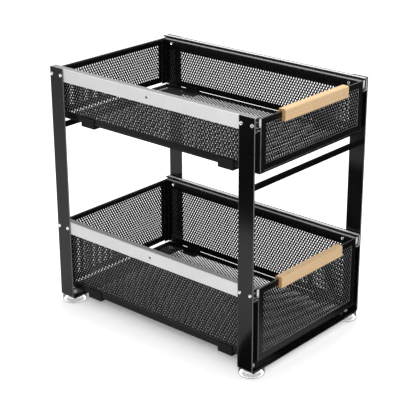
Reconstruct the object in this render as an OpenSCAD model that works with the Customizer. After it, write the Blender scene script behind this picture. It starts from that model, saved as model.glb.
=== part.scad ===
// Two-tier pull-out basket for a kitchen cabinet.
// A bar frame on four round feet carries two mesh baskets on three-section ball slides.
// +Z is up, the baskets pull out towards -Y, and left is -X for someone who faces the baskets.
// The origin is on the floor, under the middle of the whole object.

/* [Frame] */
// Width over the outer faces of the posts
frame_w = 285; // [250:5:360]
// Depth from the front posts' front edges to the rear posts' rear edges
frame_d = 430.5; // [400:0.5:520]
// Height of the frame above its feet
frame_h = 414; // [400:2:520]
// Width of the flat bar of the posts and base rails
bar_w = 30; // [26:1:36]
// Thickness of that flat bar
bar_t = 2; // [1.5:0.5:3]
// Length of a post's foot tab, from the post's outer face
tab_len = 40; // [34:1:60]
// Inside radius of the bend between a post and its tab
tab_bend_r = 2; // [1:0.5:3]
// Height of the cross rails under the upper basket
cross_h = 10; // [6:1:16]
// Thickness of the cross rails
cross_t = 3; // [2:0.5:5]
// Free height between the cross rails and the upper basket's clips
cross_gap = 6; // [3:1:20]

/* [Feet] */
// Diameter of a foot
foot_d = 41; // [30:1:44]
// Height of a foot
foot_h = 9; // [7:0.5:16]
// Radius of the round on a foot's top edge
foot_round = 2; // [1:0.5:3]
// Distance from a post's outer face to its foot's middle
foot_inset = 17.5; // [14:0.5:22]
// Diameter of the foot bolts' shanks
foot_bolt_d = 4.8; // [4:0.2:6]
// Depth to which a foot bolt reaches into its foot
foot_bolt_depth = 5; // [3:0.5:6]
// Diameter of the foot bolts' heads
foot_bolt_head_d = 9.5; // [7:0.5:10]
// Height of the foot bolts' heads
foot_bolt_head_h = 3.25; // [1.5:0.25:4]

/* [Slides] */
// Height of the outer slide member
slide_h = 22.5; // [20:0.5:30]
// Thickness of a slide, from the post to the basket's side
slide_t = 12.5; // [11.5:0.5:14]
// Sheet thickness of the outer slide member
slide_wall = 1.2; // [1:0.1:1.4]
// Depth of the lips along the outer member's open side
slide_lip = 2.1; // [2:0.1:3]
// Length of slide that stands out behind the rear posts
slide_tail = 0; // [0:0.5:20]
// How far a basket pulls out
slide_travel = 400; // [200:10:410]
// Spacing of the two screws that hold a slide to a post
slide_screw_pitch = 20.4; // [14:0.2:21]
// Diameter of the slide screws' shanks
slide_screw_d = 4; // [3:0.5:4.5]
// Diameter of the slide screws' heads
slide_screw_head_d = 6.5; // [5.5:0.5:8]
// Height of the slide screws' heads
slide_screw_head_h = 1.6; // [1:0.1:2.2]
// Width of the stop tab at the inner member's front end
stop_w = 8; // [6:0.5:8]
// Height of the inner member's back plate above the centre line
plate_rise = 7.6; // [6:0.1:8.3]
// Height of the stop tab above the centre line
stop_rise = 8.2; // [6:0.1:8.3]
// Height of the stop tab below the centre line
stop_drop = 2.7; // [2:0.1:6]
// Diameter of the driver hole half way along the outer member
driver_hole_d = 4; // [3:0.5:6]

/* [Tiers] */
// Free height between the foot bolts' heads and the lower basket's clips
floor_gap = 1.75; // [1:0.25:6]
// Height of a basket's rim above its slides' centre line
rim_rise = 8.25; // [7:0.25:9]
// How far the side walls' rims lie below the end walls' rims
side_rim_drop = 2.25; // [0:0.25:2.5]

/* [Baskets] */
// How far the baskets end short of the rear posts' rear edges
basket_rear_gap = 4.5; // [0:0.5:30]
// Height of the upper basket, from its underside to its rim
upper_basket_h = 86.5; // [70:0.5:110]
// Height of the lower basket
lower_basket_h = 128; // [100:1:130]
// Thickness of the sheet that the wall frames are folded from
sheet_t = 1.2; // [1:0.1:1.5]
// Border beside the mesh, on the side walls and the front wall
border_w = 12; // [11:1:18]
// Border beside the mesh of the rear wall
rear_border_w = 18; // [12:1:24]
// Border above the mesh of the front and rear walls
rim_border_h = 10.5; // [9:0.5:16]
// Border above the mesh of the side walls, which carries the slide
slide_border_h = 13.25; // [13:0.25:20]
// Border below the mesh of all walls
foot_border_h = 10.5; // [9:0.5:16]
// Width of the flanges by which the side walls hold the front and rear walls
corner_flange_w = 11; // [8:0.5:11]
// Height of the folded hem inside the rim
hem_h = 2.5; // [2:0.25:2.5]
// Thickness of the mesh panels
mesh_t = 1; // [0.8:0.1:1.4]
// How far a mesh panel laps over the border round it
mesh_lap = 3.5; // [2:0.5:4]
// Width of a cell of the mesh, drawn coarser than the real mesh
mesh_cell_w = 33.5; // [33.5:0.5:60]
// Height of such a cell
mesh_cell_h = 52; // [40:1:80]
// Share of a cell's width and height that its diamond opens
mesh_open = 0.67; // [0.4:0.01:0.75]
// Thickness of the bottom frame
bottom_t = 1.5; // [1:0.25:2.5]
// Border round the mesh of the bottom
bottom_border_w = 12; // [11:1:20]
// Gap between the bottom frame and the side walls above it
side_gap = 1.6; // [1:0.2:3]
// Gap between the bottom frame and the front and rear walls above it
end_gap = 3.9; // [2:0.1:6]
// How far the bottom frame's long edges lie inside the side walls' faces
bottom_inset_side = 1.5; // [1.4:0.1:3]
// How far the bottom frame's short edges lie inside the end walls' faces
bottom_inset_end = 3; // [1:0.5:6]

/* [Clips] */
// Length of a corner clip
clip_len = 30; // [20:1:40]
// Wall thickness of a clip's cheeks
clip_wall = 1.5; // [1.2:0.1:2]
// Depth of a clip below the bottom frame
clip_drop = 5; // [3:0.5:6]
// How far a clip's outer cheek covers the side wall
clip_cover_out = 9; // [6:0.5:10]
// How far a clip's inner cheek covers the side wall
clip_cover_in = 6.5; // [4:0.5:6.5]
// How far a clip's lower jaw reaches in under the bottom frame
clip_reach = 16; // [10:1:20]
// How far a clip's upper jaw reaches in over the bottom frame
clip_grip = 6; // [4:0.5:8]
// Distance from a basket's front or rear face to a clip's middle
clip_inset = 66; // [50:1:100]

/* [Basket screws] */
// Distance from the basket's front face to the front fixing screws
fix_front_inset = 26; // [20:1:60]
// Distance from the basket's rear face to the rear fixing screws
fix_rear_inset = 17; // [15:1:60]
// Diameter of the fixing screws' shanks
fix_screw_d = 4; // [3:0.5:4.5]
// Diameter of the fixing screws' heads
fix_head_d = 6.5; // [5.5:0.5:6.5]
// Height of the fixing screws' heads
fix_head_h = 1.4; // [1:0.1:2]

/* [Handles] */
// Length of a handle
handle_len = 160; // [100:5:180]
// Height of a handle
handle_h = 18.3; // [16:0.1:30]
// How far a handle stands above the rim
handle_rise = 3.5; // [3:0.5:8]
// Thickness of the handle in front of the front wall
handle_front_t = 6.5; // [5:0.5:12]
// Thickness of the handle behind the front wall
handle_back_t = 4.5; // [3:0.5:10]
// Radius of the rounded top edges of a handle
handle_round = 2.5; // [1:0.5:2.5]

/* [Clearances] */
// Clearance round a fastener's shank
hole_clear = 0.15; // [0.1:0.05:0.4]
// Clearance between a wall and what is slipped over it
slip_clear = 0.1; // [0.05:0.05:0.2]
// Running gap between slide members and between balls and their tracks
run_gap = 0.25; // [0.2:0.05:0.3]
// Gap between the back of the middle slide member and the outer one
slide_back_gap = 0.6; // [0.4:0.1:0.8]
// Gap between the front ends of the slide members
slide_end_gap = 1.5; // [0.5:0.5:3]
// Gap between the outer slide member's lips and the basket's side
lip_side_gap = 1; // [0.6:0.1:1.4]
// Gap between the middle slide member's flanges and the basket's side
middle_side_gap = 2.1; // [1.6:0.1:2.6]
// Gap between the inner slide member's flanges and the middle one's back
inner_back_gap = 1.2; // [0.8:0.1:1.6]
// Gap between the inner slide member's stop tab and the middle one's front end
stop_gap = 0.3; // [0.3:0.05:0.4]

/* [Hidden] */
$fn = 48;
UPPER = 1;
LOWER = 0;
LEFT = -1;
RIGHT = 1;
FRONT = -1;
REAR = 1;

// How far the handles, slides and feet stand out before and behind the posts
foot_over = (foot_d - bar_w) / 2;
front_over = max(handle_front_t, foot_over);
rear_over = max(slide_tail, foot_over);

// Depth of the whole object, and where its pieces start along it
total_d = front_over + frame_d + rear_over;
front_y = -total_d / 2 + front_over;
rear_y = front_y + frame_d;
slide_rear_y = rear_y + slide_tail;
basket_rear_y = rear_y - basket_rear_gap;
basket_d = basket_rear_y - front_y;
function post_y(end) = end == FRONT ? front_y + bar_w / 2 : rear_y - bar_w / 2;

// Widths and heights of the frame
post_out_x = frame_w / 2;
post_in_x = post_out_x - bar_t;
tab_bend_out = tab_bend_r + bar_t;
tab_z = foot_h + bar_t;
frame_top = foot_h + frame_h;
foot_x = post_out_x - foot_inset;

// Heights of a tier. The upper slides end level with the posts, and the lower basket runs
// just over the foot bolts.
bolt_top_z = tab_z + bar_t + foot_bolt_head_h;
function slide_z(tier) = tier == UPPER
    ? frame_top - slide_h / 2
    : bolt_top_z + floor_gap + clip_drop + lower_basket_h - rim_rise;
function rim_z(tier) = slide_z(tier) + rim_rise;
function side_rim_z(tier) = rim_z(tier) - side_rim_drop;
function under_z(tier) = rim_z(tier) - (tier == LOWER ? lower_basket_h : upper_basket_h);
function ring_top_z(tier) = under_z(tier) + bottom_t;
function side_low_z(tier) = ring_top_z(tier) + side_gap;
function end_low_z(tier) = ring_top_z(tier) + end_gap;
function mesh_low_z(low) = low + foot_border_h;
cross_top = under_z(UPPER) - clip_drop - cross_gap;

// Baskets
basket_x = post_in_x - slide_t;
wall_x = basket_x - sheet_t;
end_web = sheet_t * 2;
ring_x = basket_x - bottom_inset_side;
ring_y0 = front_y + bottom_inset_end;
ring_y1 = basket_rear_y - bottom_inset_end;
fix_ys = [front_y + fix_front_inset, basket_rear_y - fix_rear_inset];

// Slide sections. u runs from the post towards the basket, v up from the centre line.
ball_track = 2.45;
middle_wall = 1;
middle_u0 = slide_wall + slide_back_gap;
middle_u1 = slide_t - middle_side_gap;
middle_half = slide_h / 2 - slide_wall - ball_track;
inner_track = 1.9;
inner_wall = 1.1;
inner_half = middle_half - middle_wall - inner_track;
inner_u1 = middle_u0 + middle_wall + inner_back_gap;
outer_u1 = slide_t - lip_side_gap;
outer_cage_v = middle_half + ball_track / 2;
inner_cage_v = inner_half + inner_track / 2;
outer_ball_r = ball_track / 2 - run_gap;
inner_ball_r = inner_track / 2 - run_gap;
cage_w = 2.8;
cage_t = 0.6;
cage_back_gap = 1.8;
cage_u = middle_u0 + middle_wall + cage_back_gap + cage_w / 2;
cage_end_gap = 12;
cage_balls = 5;

// The longest cage that a basket pulled right out still covers at both ends
cage_len = basket_d - slide_travel / 2 - 2 * cage_end_gap;

// How far a cutter runs past the face it opens, and how far a blind hole outruns its bolt
cut_over = 1;
bolt_end_clear = 0.5;

// A C section with its back at u0 and its open side at u1, and a lip on each flange if lip > 0
function c_section(u0, u1, half, wall, lip = 0) =
    let (s = sign(u1 - u0) * wall, r = lip > 0 ? s : 0, tip = lip > 0 ? lip : wall)
    concat(
        [[u0, -half], [u1, -half], [u1, -half + tip]],
        lip > 0 ? [[u1 - r, -half + tip], [u1 - r, -half + wall]] : [],
        [[u0 + s, -half + wall], [u0 + s, half - wall]],
        lip > 0 ? [[u1 - r, half - wall], [u1 - r, half - tip]] : [],
        [[u1, half - tip], [u1, half], [u0, half]]
    );

// Extrudes an outline drawn in x and z along +Y
module along_y(y0, len) translate([0, y0 + len, 0]) rotate([90, 0, 0]) linear_extrude(len) children();

// Extrudes an outline drawn in y and z along +X
module along_x(x0, len) translate([x0, 0, 0]) rotate([90, 0, 90]) linear_extrude(len) children();

// Draws the right-hand piece as it is, or mirrored for the left
module on_side(side) mirror([side == LEFT ? 1 : 0, 0, 0]) children();

// A plate outline from one corner to the other, with a window left open inside it
module framed(low, high, window_low, window_high) difference() {
    translate(low) square(high - low);
    translate(window_low) square(window_high - window_low);
}

// A mesh sheet's outline round a window, with staggered rows of diamonds open inside the window
module diamonds(window_low, window_high, lap) {
    size = window_high - window_low;
    columns = max(1, round(size.x / mesh_cell_w));
    rows = max(1, round(size.y / mesh_cell_h));
    cell = [size.x / columns, size.y / rows];
    reach = cell * mesh_open / 2;
    difference() {
        translate(window_low - lap) square(size + 2 * lap);
        intersection() {
            translate(window_low) square(size);
            for (shift = [0, 0.5], i = [0 : columns], j = [0 : rows])
                translate(window_low + [(i + shift) * cell.x, (j + shift) * cell.y])
                    polygon([[reach.x, 0], [0, reach.y], [-reach.x, 0], [0, -reach.y]]);
        }
    }
}

// A round-headed fastener that points down from z = 0, with its head above
module fastener(head_d, head_h, shank_d, shank_len) rotate_extrude() {
    polygon([[0, -shank_len], [shank_d / 2, -shank_len], [shank_d / 2, 0], [head_d / 2, 0],
        [head_d / 2, head_h / 2], [head_d / 2 - head_h / 2, head_h], [0, head_h]]);
}

module post(side, end) color("#1d1d20") on_side(side) difference() {
    along_y(post_y(end) - bar_w / 2, bar_w) {
        translate([post_in_x, tab_z + tab_bend_out]) square([bar_t, frame_top - tab_z - tab_bend_out]);
        translate([post_out_x - tab_len, tab_z]) square([tab_len - tab_bend_out, bar_t]);
        translate([post_out_x - tab_bend_out, tab_z + tab_bend_out]) intersection() {
            difference() {
                circle(tab_bend_out);
                circle(tab_bend_r);
            }
            translate([0, -tab_bend_out]) square(tab_bend_out);
        }
    }
    translate([foot_x, post_y(end), 0])
        cylinder(d = foot_bolt_d + 2 * hole_clear, h = tab_z + bar_t + cut_over);
    slide_screw_holes(UPPER, post_y(end), post_in_x, bar_t);
    slide_screw_holes(LOWER, post_y(end), post_in_x, bar_t);
}

// The two screw holes through a sheet at x0, for one slide at one post
module slide_screw_holes(tier, y, x0, len) for (s = [-1, 1])
    translate([x0 - cut_over, y + s * slide_screw_pitch / 2, slide_z(tier)]) rotate([0, 90, 0])
        cylinder(d = slide_screw_d + 2 * hole_clear, h = len + 2 * cut_over);

module base_rail(end) color("#1b1b1e") difference() {
    translate([-post_out_x + tab_bend_out, post_y(end) - bar_w / 2, foot_h])
        cube([2 * (post_out_x - tab_bend_out), bar_w, bar_t]);
    for (s = [-1, 1]) translate([s * foot_x, post_y(end), 0])
        cylinder(d = foot_bolt_d + 2 * hole_clear, h = tab_z + cut_over);
}

module cross_rail(end) color("#1b1b1e")
    translate([-post_in_x, end == FRONT ? front_y : rear_y - cross_t, cross_top - cross_h])
        cube([2 * post_in_x, cross_t, cross_h]);

module foot(side, end) color([0.86, 0.89, 0.9, 0.6]) translate([side * foot_x, post_y(end), 0])
    difference() {
        rotate_extrude() {
            square([foot_d / 2, foot_h - foot_round]);
            square([foot_d / 2 - foot_round, foot_h]);
            translate([foot_d / 2 - foot_round, foot_h - foot_round]) intersection() {
                circle(foot_round);
                square(foot_round);
            }
        }
        translate([0, 0, foot_h - foot_bolt_depth - bolt_end_clear])
            cylinder(d = foot_bolt_d + 2 * hole_clear, h = foot_h);
    }

module foot_bolts() color("#c9cbcd") for (side = [LEFT, RIGHT], end = [FRONT, REAR])
    translate([side * foot_x, post_y(end), tab_z + bar_t])
        fastener(foot_bolt_head_d, foot_bolt_head_h, foot_bolt_d, 2 * bar_t + foot_bolt_depth);

module slide_screws(tier) color("#c9cbcd")
    for (side = [LEFT, RIGHT], end = [FRONT, REAR], s = [-1, 1]) on_side(side)
        translate([post_out_x, post_y(end) + s * slide_screw_pitch / 2, slide_z(tier)]) rotate([0, 90, 0])
            fastener(slide_screw_head_d, slide_screw_head_h, slide_screw_d, bar_t + slide_wall);

// Turns slide coordinates (u, v) into x and z on the right-hand side
module slide_place(tier) translate([post_in_x, slide_z(tier)]) mirror([1, 0]) children();

module slide_outer(tier, side) color("#d6d8da") on_side(side) difference() {
    along_y(front_y, slide_rear_y - front_y) slide_place(tier)
        polygon(c_section(0, outer_u1, slide_h / 2, slide_wall, slide_lip));
    for (end = [FRONT, REAR]) slide_screw_holes(tier, post_y(end), post_in_x - slide_wall, slide_wall);
    translate([post_in_x - slide_wall - cut_over, front_y + frame_d / 2, slide_z(tier)])
        rotate([0, 90, 0]) cylinder(d = driver_hole_d, h = slide_wall + 2 * cut_over);
}

module slide_middle(tier, side) color("#c4c6c9") on_side(side)
    along_y(front_y + slide_end_gap, slide_rear_y - front_y - 2 * slide_end_gap) slide_place(tier)
        polygon(c_section(middle_u0, middle_u1, middle_half, middle_wall));

module slide_inner(tier, side) color("#d0d2d4") on_side(side) difference() {
    union() {
        along_y(front_y, basket_d) slide_place(tier) {
            polygon(c_section(slide_t, inner_u1, inner_half, inner_wall));
            translate([slide_t - inner_wall, 0]) square([inner_wall, plate_rise]);
        }
        along_y(front_y, slide_end_gap - stop_gap) slide_place(tier)
            translate([slide_t - stop_w, -stop_drop]) square([stop_w, stop_rise + stop_drop]);
    }
    fix_holes(tier, inner_wall);
}

// The holes of the fixing screws, from the wall's inside out through the slide
module fix_holes(tier, depth) for (y = fix_ys) translate([wall_x - cut_over, y, slide_z(tier)])
    rotate([0, 90, 0]) cylinder(d = fix_screw_d + 2 * hole_clear, h = sheet_t + depth + 2 * cut_over);

// A row of balls in its strip, above and below the centre line
module ball_row(y0, v, r) for (s = [-1, 1]) {
    translate([-cage_u - cage_w / 2, y0, s * v - cage_t / 2]) cube([cage_w, cage_len, cage_t]);
    for (i = [0 : cage_balls - 1])
        translate([-cage_u, y0 + cage_len * (i + 0.5) / cage_balls, s * v]) sphere(r);
}

module ball_cages(tier, side) color("#9a9ca0") on_side(side) translate([post_in_x, 0, slide_z(tier)]) {
    ball_row(slide_rear_y - slide_end_gap - cage_end_gap - cage_len, outer_cage_v, outer_ball_r);
    ball_row(front_y + slide_end_gap + cage_end_gap, inner_cage_v, inner_ball_r);
}

module side_frame(tier, side) color("#1e1e21") on_side(side) difference() {
    union() {
        along_x(wall_x, sheet_t) framed(
            [front_y + sheet_t, side_low_z(tier)], [basket_rear_y - sheet_t, side_rim_z(tier)],
            [front_y + border_w, mesh_low_z(side_low_z(tier))],
            [basket_rear_y - border_w, side_rim_z(tier) - slide_border_h]);
        for (y = [front_y + sheet_t, basket_rear_y - end_web]) along_y(y, sheet_t)
            translate([basket_x - corner_flange_w, side_low_z(tier)])
                square([corner_flange_w, side_rim_z(tier) - side_low_z(tier)]);
        along_x(wall_x - sheet_t, sheet_t) translate([front_y + sheet_t, side_rim_z(tier) - hem_h])
            square([basket_d - end_web, hem_h]);
    }
    fix_holes(tier, 0);
}

module end_frame(tier, end) color("#1e1e21") {
    side_w = end == FRONT ? border_w : rear_border_w;
    hem_x = basket_x - corner_flange_w - slip_clear;
    along_y(end == FRONT ? front_y : basket_rear_y - sheet_t, sheet_t) framed(
        [-basket_x, end_low_z(tier)], [basket_x, rim_z(tier)],
        [-basket_x + side_w, mesh_low_z(end_low_z(tier))], [basket_x - side_w, rim_z(tier) - rim_border_h]);
    along_y(end == FRONT ? front_y + sheet_t : basket_rear_y - end_web, sheet_t)
        translate([-hem_x, rim_z(tier) - hem_h]) square([2 * hem_x, hem_h]);
}

module side_mesh(tier, side) color("#26262a") on_side(side) along_x(wall_x - mesh_t, mesh_t)
    diamonds([front_y + border_w, mesh_low_z(side_low_z(tier))],
        [basket_rear_y - border_w, side_rim_z(tier) - slide_border_h], [mesh_lap, mesh_lap]);

module end_mesh(tier, end) color("#26262a") {
    half = basket_x - (end == FRONT ? border_w : rear_border_w);
    lap = basket_x - corner_flange_w - slip_clear - half;
    along_y(end == FRONT ? front_y + sheet_t : basket_rear_y - sheet_t - mesh_t, mesh_t)
        diamonds([-half, mesh_low_z(end_low_z(tier))], [half, rim_z(tier) - rim_border_h], [lap, mesh_lap]);
}

module bottom_frame(tier) color("#1e1e21") translate([0, 0, under_z(tier)]) linear_extrude(bottom_t)
    framed([-ring_x, ring_y0], [ring_x, ring_y1],
        [-ring_x + bottom_border_w, ring_y0 + bottom_border_w],
        [ring_x - bottom_border_w, ring_y1 - bottom_border_w]);

module bottom_mesh(tier) color("#26262a") translate([0, 0, ring_top_z(tier)]) linear_extrude(mesh_t)
    diamonds([-ring_x + bottom_border_w, ring_y0 + bottom_border_w],
        [ring_x - bottom_border_w, ring_y1 - bottom_border_w], [mesh_lap, mesh_lap]);

// Section of the right-hand clip. x is the distance inwards from the wall's face,
// y the height above the clip's underside.
function clip_section() =
    let (
        out = -clip_wall - slip_clear,
        ring_edge = bottom_inset_side - slip_clear,
        ring_low = clip_drop,
        ring_high = clip_drop + bottom_t + slip_clear,
        floor_z = clip_drop + bottom_t + side_gap - slip_clear,
        in0 = sheet_t + slip_clear,
        in1 = sheet_t + slip_clear + clip_wall
    )
    [[out, 0], [clip_reach, 0], [clip_reach, ring_low], [ring_edge, ring_low], [ring_edge, ring_high],
        [clip_grip, ring_high], [clip_grip, floor_z], [in1, floor_z],
        [in1, floor_z + clip_cover_in], [in0, floor_z + clip_cover_in], [in0, floor_z],
        [-slip_clear, floor_z], [-slip_clear, floor_z + clip_cover_out], [out, floor_z + clip_cover_out]];

module clips(tier) color("#17171a") for (side = [LEFT, RIGHT], y = [front_y + clip_inset, basket_rear_y - clip_inset])
    on_side(side) along_y(y - clip_len / 2, clip_len)
        translate([basket_x, under_z(tier) - clip_drop]) mirror([1, 0]) polygon(clip_section());

module basket_screws(tier) color("#c9cbcd") for (side = [LEFT, RIGHT], y = fix_ys) on_side(side)
    translate([wall_x, y, slide_z(tier)]) rotate([0, -90, 0])
        fastener(fix_head_d, fix_head_h, fix_screw_d, sheet_t + inner_wall);

module handle(tier) color("#dcb78a") {
    y0 = front_y - handle_front_t;
    y1 = front_y + end_web + slip_clear + handle_back_t;
    z1 = rim_z(tier) + handle_rise;
    z0 = z1 - handle_h;
    r = handle_round;
    along_x(-handle_len / 2, handle_len) difference() {
        union() {
            translate([y0, z0]) square([y1 - y0, handle_h - r]);
            translate([y0 + r, z0]) square([y1 - y0 - 2 * r, handle_h]);
            for (y = [y0 + r, y1 - r]) translate([y, z1 - r]) circle(r);
        }
        translate([front_y - slip_clear, z0 - cut_over])
            square([end_web + 2 * slip_clear, rim_z(tier) - z0 + cut_over + slip_clear]);
    }
}

post(LEFT, FRONT);  // post_front_left
post(RIGHT, FRONT);  // post_front_right
post(LEFT, REAR);  // post_rear_left
post(RIGHT, REAR);  // post_rear_right
base_rail(FRONT);  // base_rail_front
base_rail(REAR);  // base_rail_rear
cross_rail(FRONT);  // cross_rail_front
cross_rail(REAR);  // cross_rail_rear
foot(LEFT, FRONT);  // foot_front_left
foot(RIGHT, FRONT);  // foot_front_right
foot(LEFT, REAR);  // foot_rear_left
foot(RIGHT, REAR);  // foot_rear_right
foot_bolts();
slide_screws(UPPER);  // upper_slide_screws
slide_screws(LOWER);  // lower_slide_screws
slide_outer(UPPER, LEFT);  // upper_slide_outer_left
slide_outer(UPPER, RIGHT);  // upper_slide_outer_right
slide_outer(LOWER, LEFT);  // lower_slide_outer_left
slide_outer(LOWER, RIGHT);  // lower_slide_outer_right
slide_middle(UPPER, LEFT);  // upper_slide_middle_left
slide_middle(UPPER, RIGHT);  // upper_slide_middle_right
slide_middle(LOWER, LEFT);  // lower_slide_middle_left
slide_middle(LOWER, RIGHT);  // lower_slide_middle_right
ball_cages(UPPER, LEFT);  // upper_ball_cages_left
ball_cages(UPPER, RIGHT);  // upper_ball_cages_right
ball_cages(LOWER, LEFT);  // lower_ball_cages_left
ball_cages(LOWER, RIGHT);  // lower_ball_cages_right
slide_inner(UPPER, LEFT);  // upper_slide_inner_left
slide_inner(UPPER, RIGHT);  // upper_slide_inner_right
slide_inner(LOWER, LEFT);  // lower_slide_inner_left
slide_inner(LOWER, RIGHT);  // lower_slide_inner_right
side_frame(UPPER, LEFT);  // upper_side_frame_left
side_frame(UPPER, RIGHT);  // upper_side_frame_right
side_frame(LOWER, LEFT);  // lower_side_frame_left
side_frame(LOWER, RIGHT);  // lower_side_frame_right
end_frame(UPPER, FRONT);  // upper_front_frame
end_frame(UPPER, REAR);  // upper_rear_frame
end_frame(LOWER, FRONT);  // lower_front_frame
end_frame(LOWER, REAR);  // lower_rear_frame
side_mesh(UPPER, LEFT);  // upper_mesh_left
side_mesh(UPPER, RIGHT);  // upper_mesh_right
side_mesh(LOWER, LEFT);  // lower_mesh_left
side_mesh(LOWER, RIGHT);  // lower_mesh_right
end_mesh(UPPER, FRONT);  // upper_mesh_front
end_mesh(UPPER, REAR);  // upper_mesh_rear
end_mesh(LOWER, FRONT);  // lower_mesh_front
end_mesh(LOWER, REAR);  // lower_mesh_rear
bottom_frame(UPPER);  // upper_bottom_frame
bottom_frame(LOWER);  // lower_bottom_frame
bottom_mesh(UPPER);  // upper_mesh_bottom
bottom_mesh(LOWER);  // lower_mesh_bottom
clips(UPPER);  // upper_clips
clips(LOWER);  // lower_clips
basket_screws(UPPER);  // upper_basket_screws
basket_screws(LOWER);  // lower_basket_screws
handle(UPPER);  // upper_handle
handle(LOWER);  // lower_handle
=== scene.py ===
"""Dresses the two-tier pull-out cabinet basket: sheet, mesh, slides, wood, feet, light and camera.

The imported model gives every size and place. Each sub-assembly is a class that models its
pieces with Blender's own tools, gives them a finish, and hangs them on the body that they
move with. Lengths are in metres, +Z is up, and the baskets pull out towards -Y.
"""

import functools
import logging
import math
from dataclasses import dataclass
from enum import Enum
from typing import Callable, Sequence

import bmesh
import bpy
from mathutils import Matrix, Vector


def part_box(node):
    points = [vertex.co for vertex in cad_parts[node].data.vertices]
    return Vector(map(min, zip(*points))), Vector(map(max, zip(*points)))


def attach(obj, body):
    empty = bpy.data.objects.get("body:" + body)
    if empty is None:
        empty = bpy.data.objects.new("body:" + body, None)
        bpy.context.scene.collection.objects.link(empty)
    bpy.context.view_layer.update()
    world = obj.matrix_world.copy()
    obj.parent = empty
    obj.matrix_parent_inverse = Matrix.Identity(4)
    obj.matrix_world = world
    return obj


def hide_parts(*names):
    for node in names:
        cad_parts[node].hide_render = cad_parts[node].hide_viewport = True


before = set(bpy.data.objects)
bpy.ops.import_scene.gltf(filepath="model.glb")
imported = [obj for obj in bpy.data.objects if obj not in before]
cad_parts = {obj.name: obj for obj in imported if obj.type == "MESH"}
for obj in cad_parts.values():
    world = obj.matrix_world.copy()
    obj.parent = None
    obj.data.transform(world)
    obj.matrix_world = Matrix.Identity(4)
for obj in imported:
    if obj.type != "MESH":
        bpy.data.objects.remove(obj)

LOG = logging.getLogger("basket")
MM = 0.001
TOUCH = 1e-6  # points closer than this, in metres, lie on each other
MAIN_SLOT, EDGE_SLOT, THIRD_SLOT = range(3)  # a piece's material slots
FLAT, FACING, LEANING = 0.99, 0.9, 0.5  # how much of a face's normal lies along an axis
Test = Callable[[Vector, Vector], bool]
Source = bpy.types.NodeSocket | float | tuple[float, ...]


class Tier(Enum):
    """The two baskets, named as their pieces are."""

    UPPER = "upper"
    LOWER = "lower"


class Side(Enum):
    """Left and right for someone who faces the baskets, with the sign of X there."""

    LEFT = -1
    RIGHT = 1

    @property
    def word(self) -> str:
        """The side's name as the pieces have it."""
        return self.name.lower()


class End(Enum):
    """Front and rear, with the sign of Y there."""

    FRONT = -1
    REAR = 1

    @property
    def word(self) -> str:
        """The end's name as the pieces have it."""
        return self.name.lower()


# ---------------------------------------------------------------- modelling tools


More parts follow.
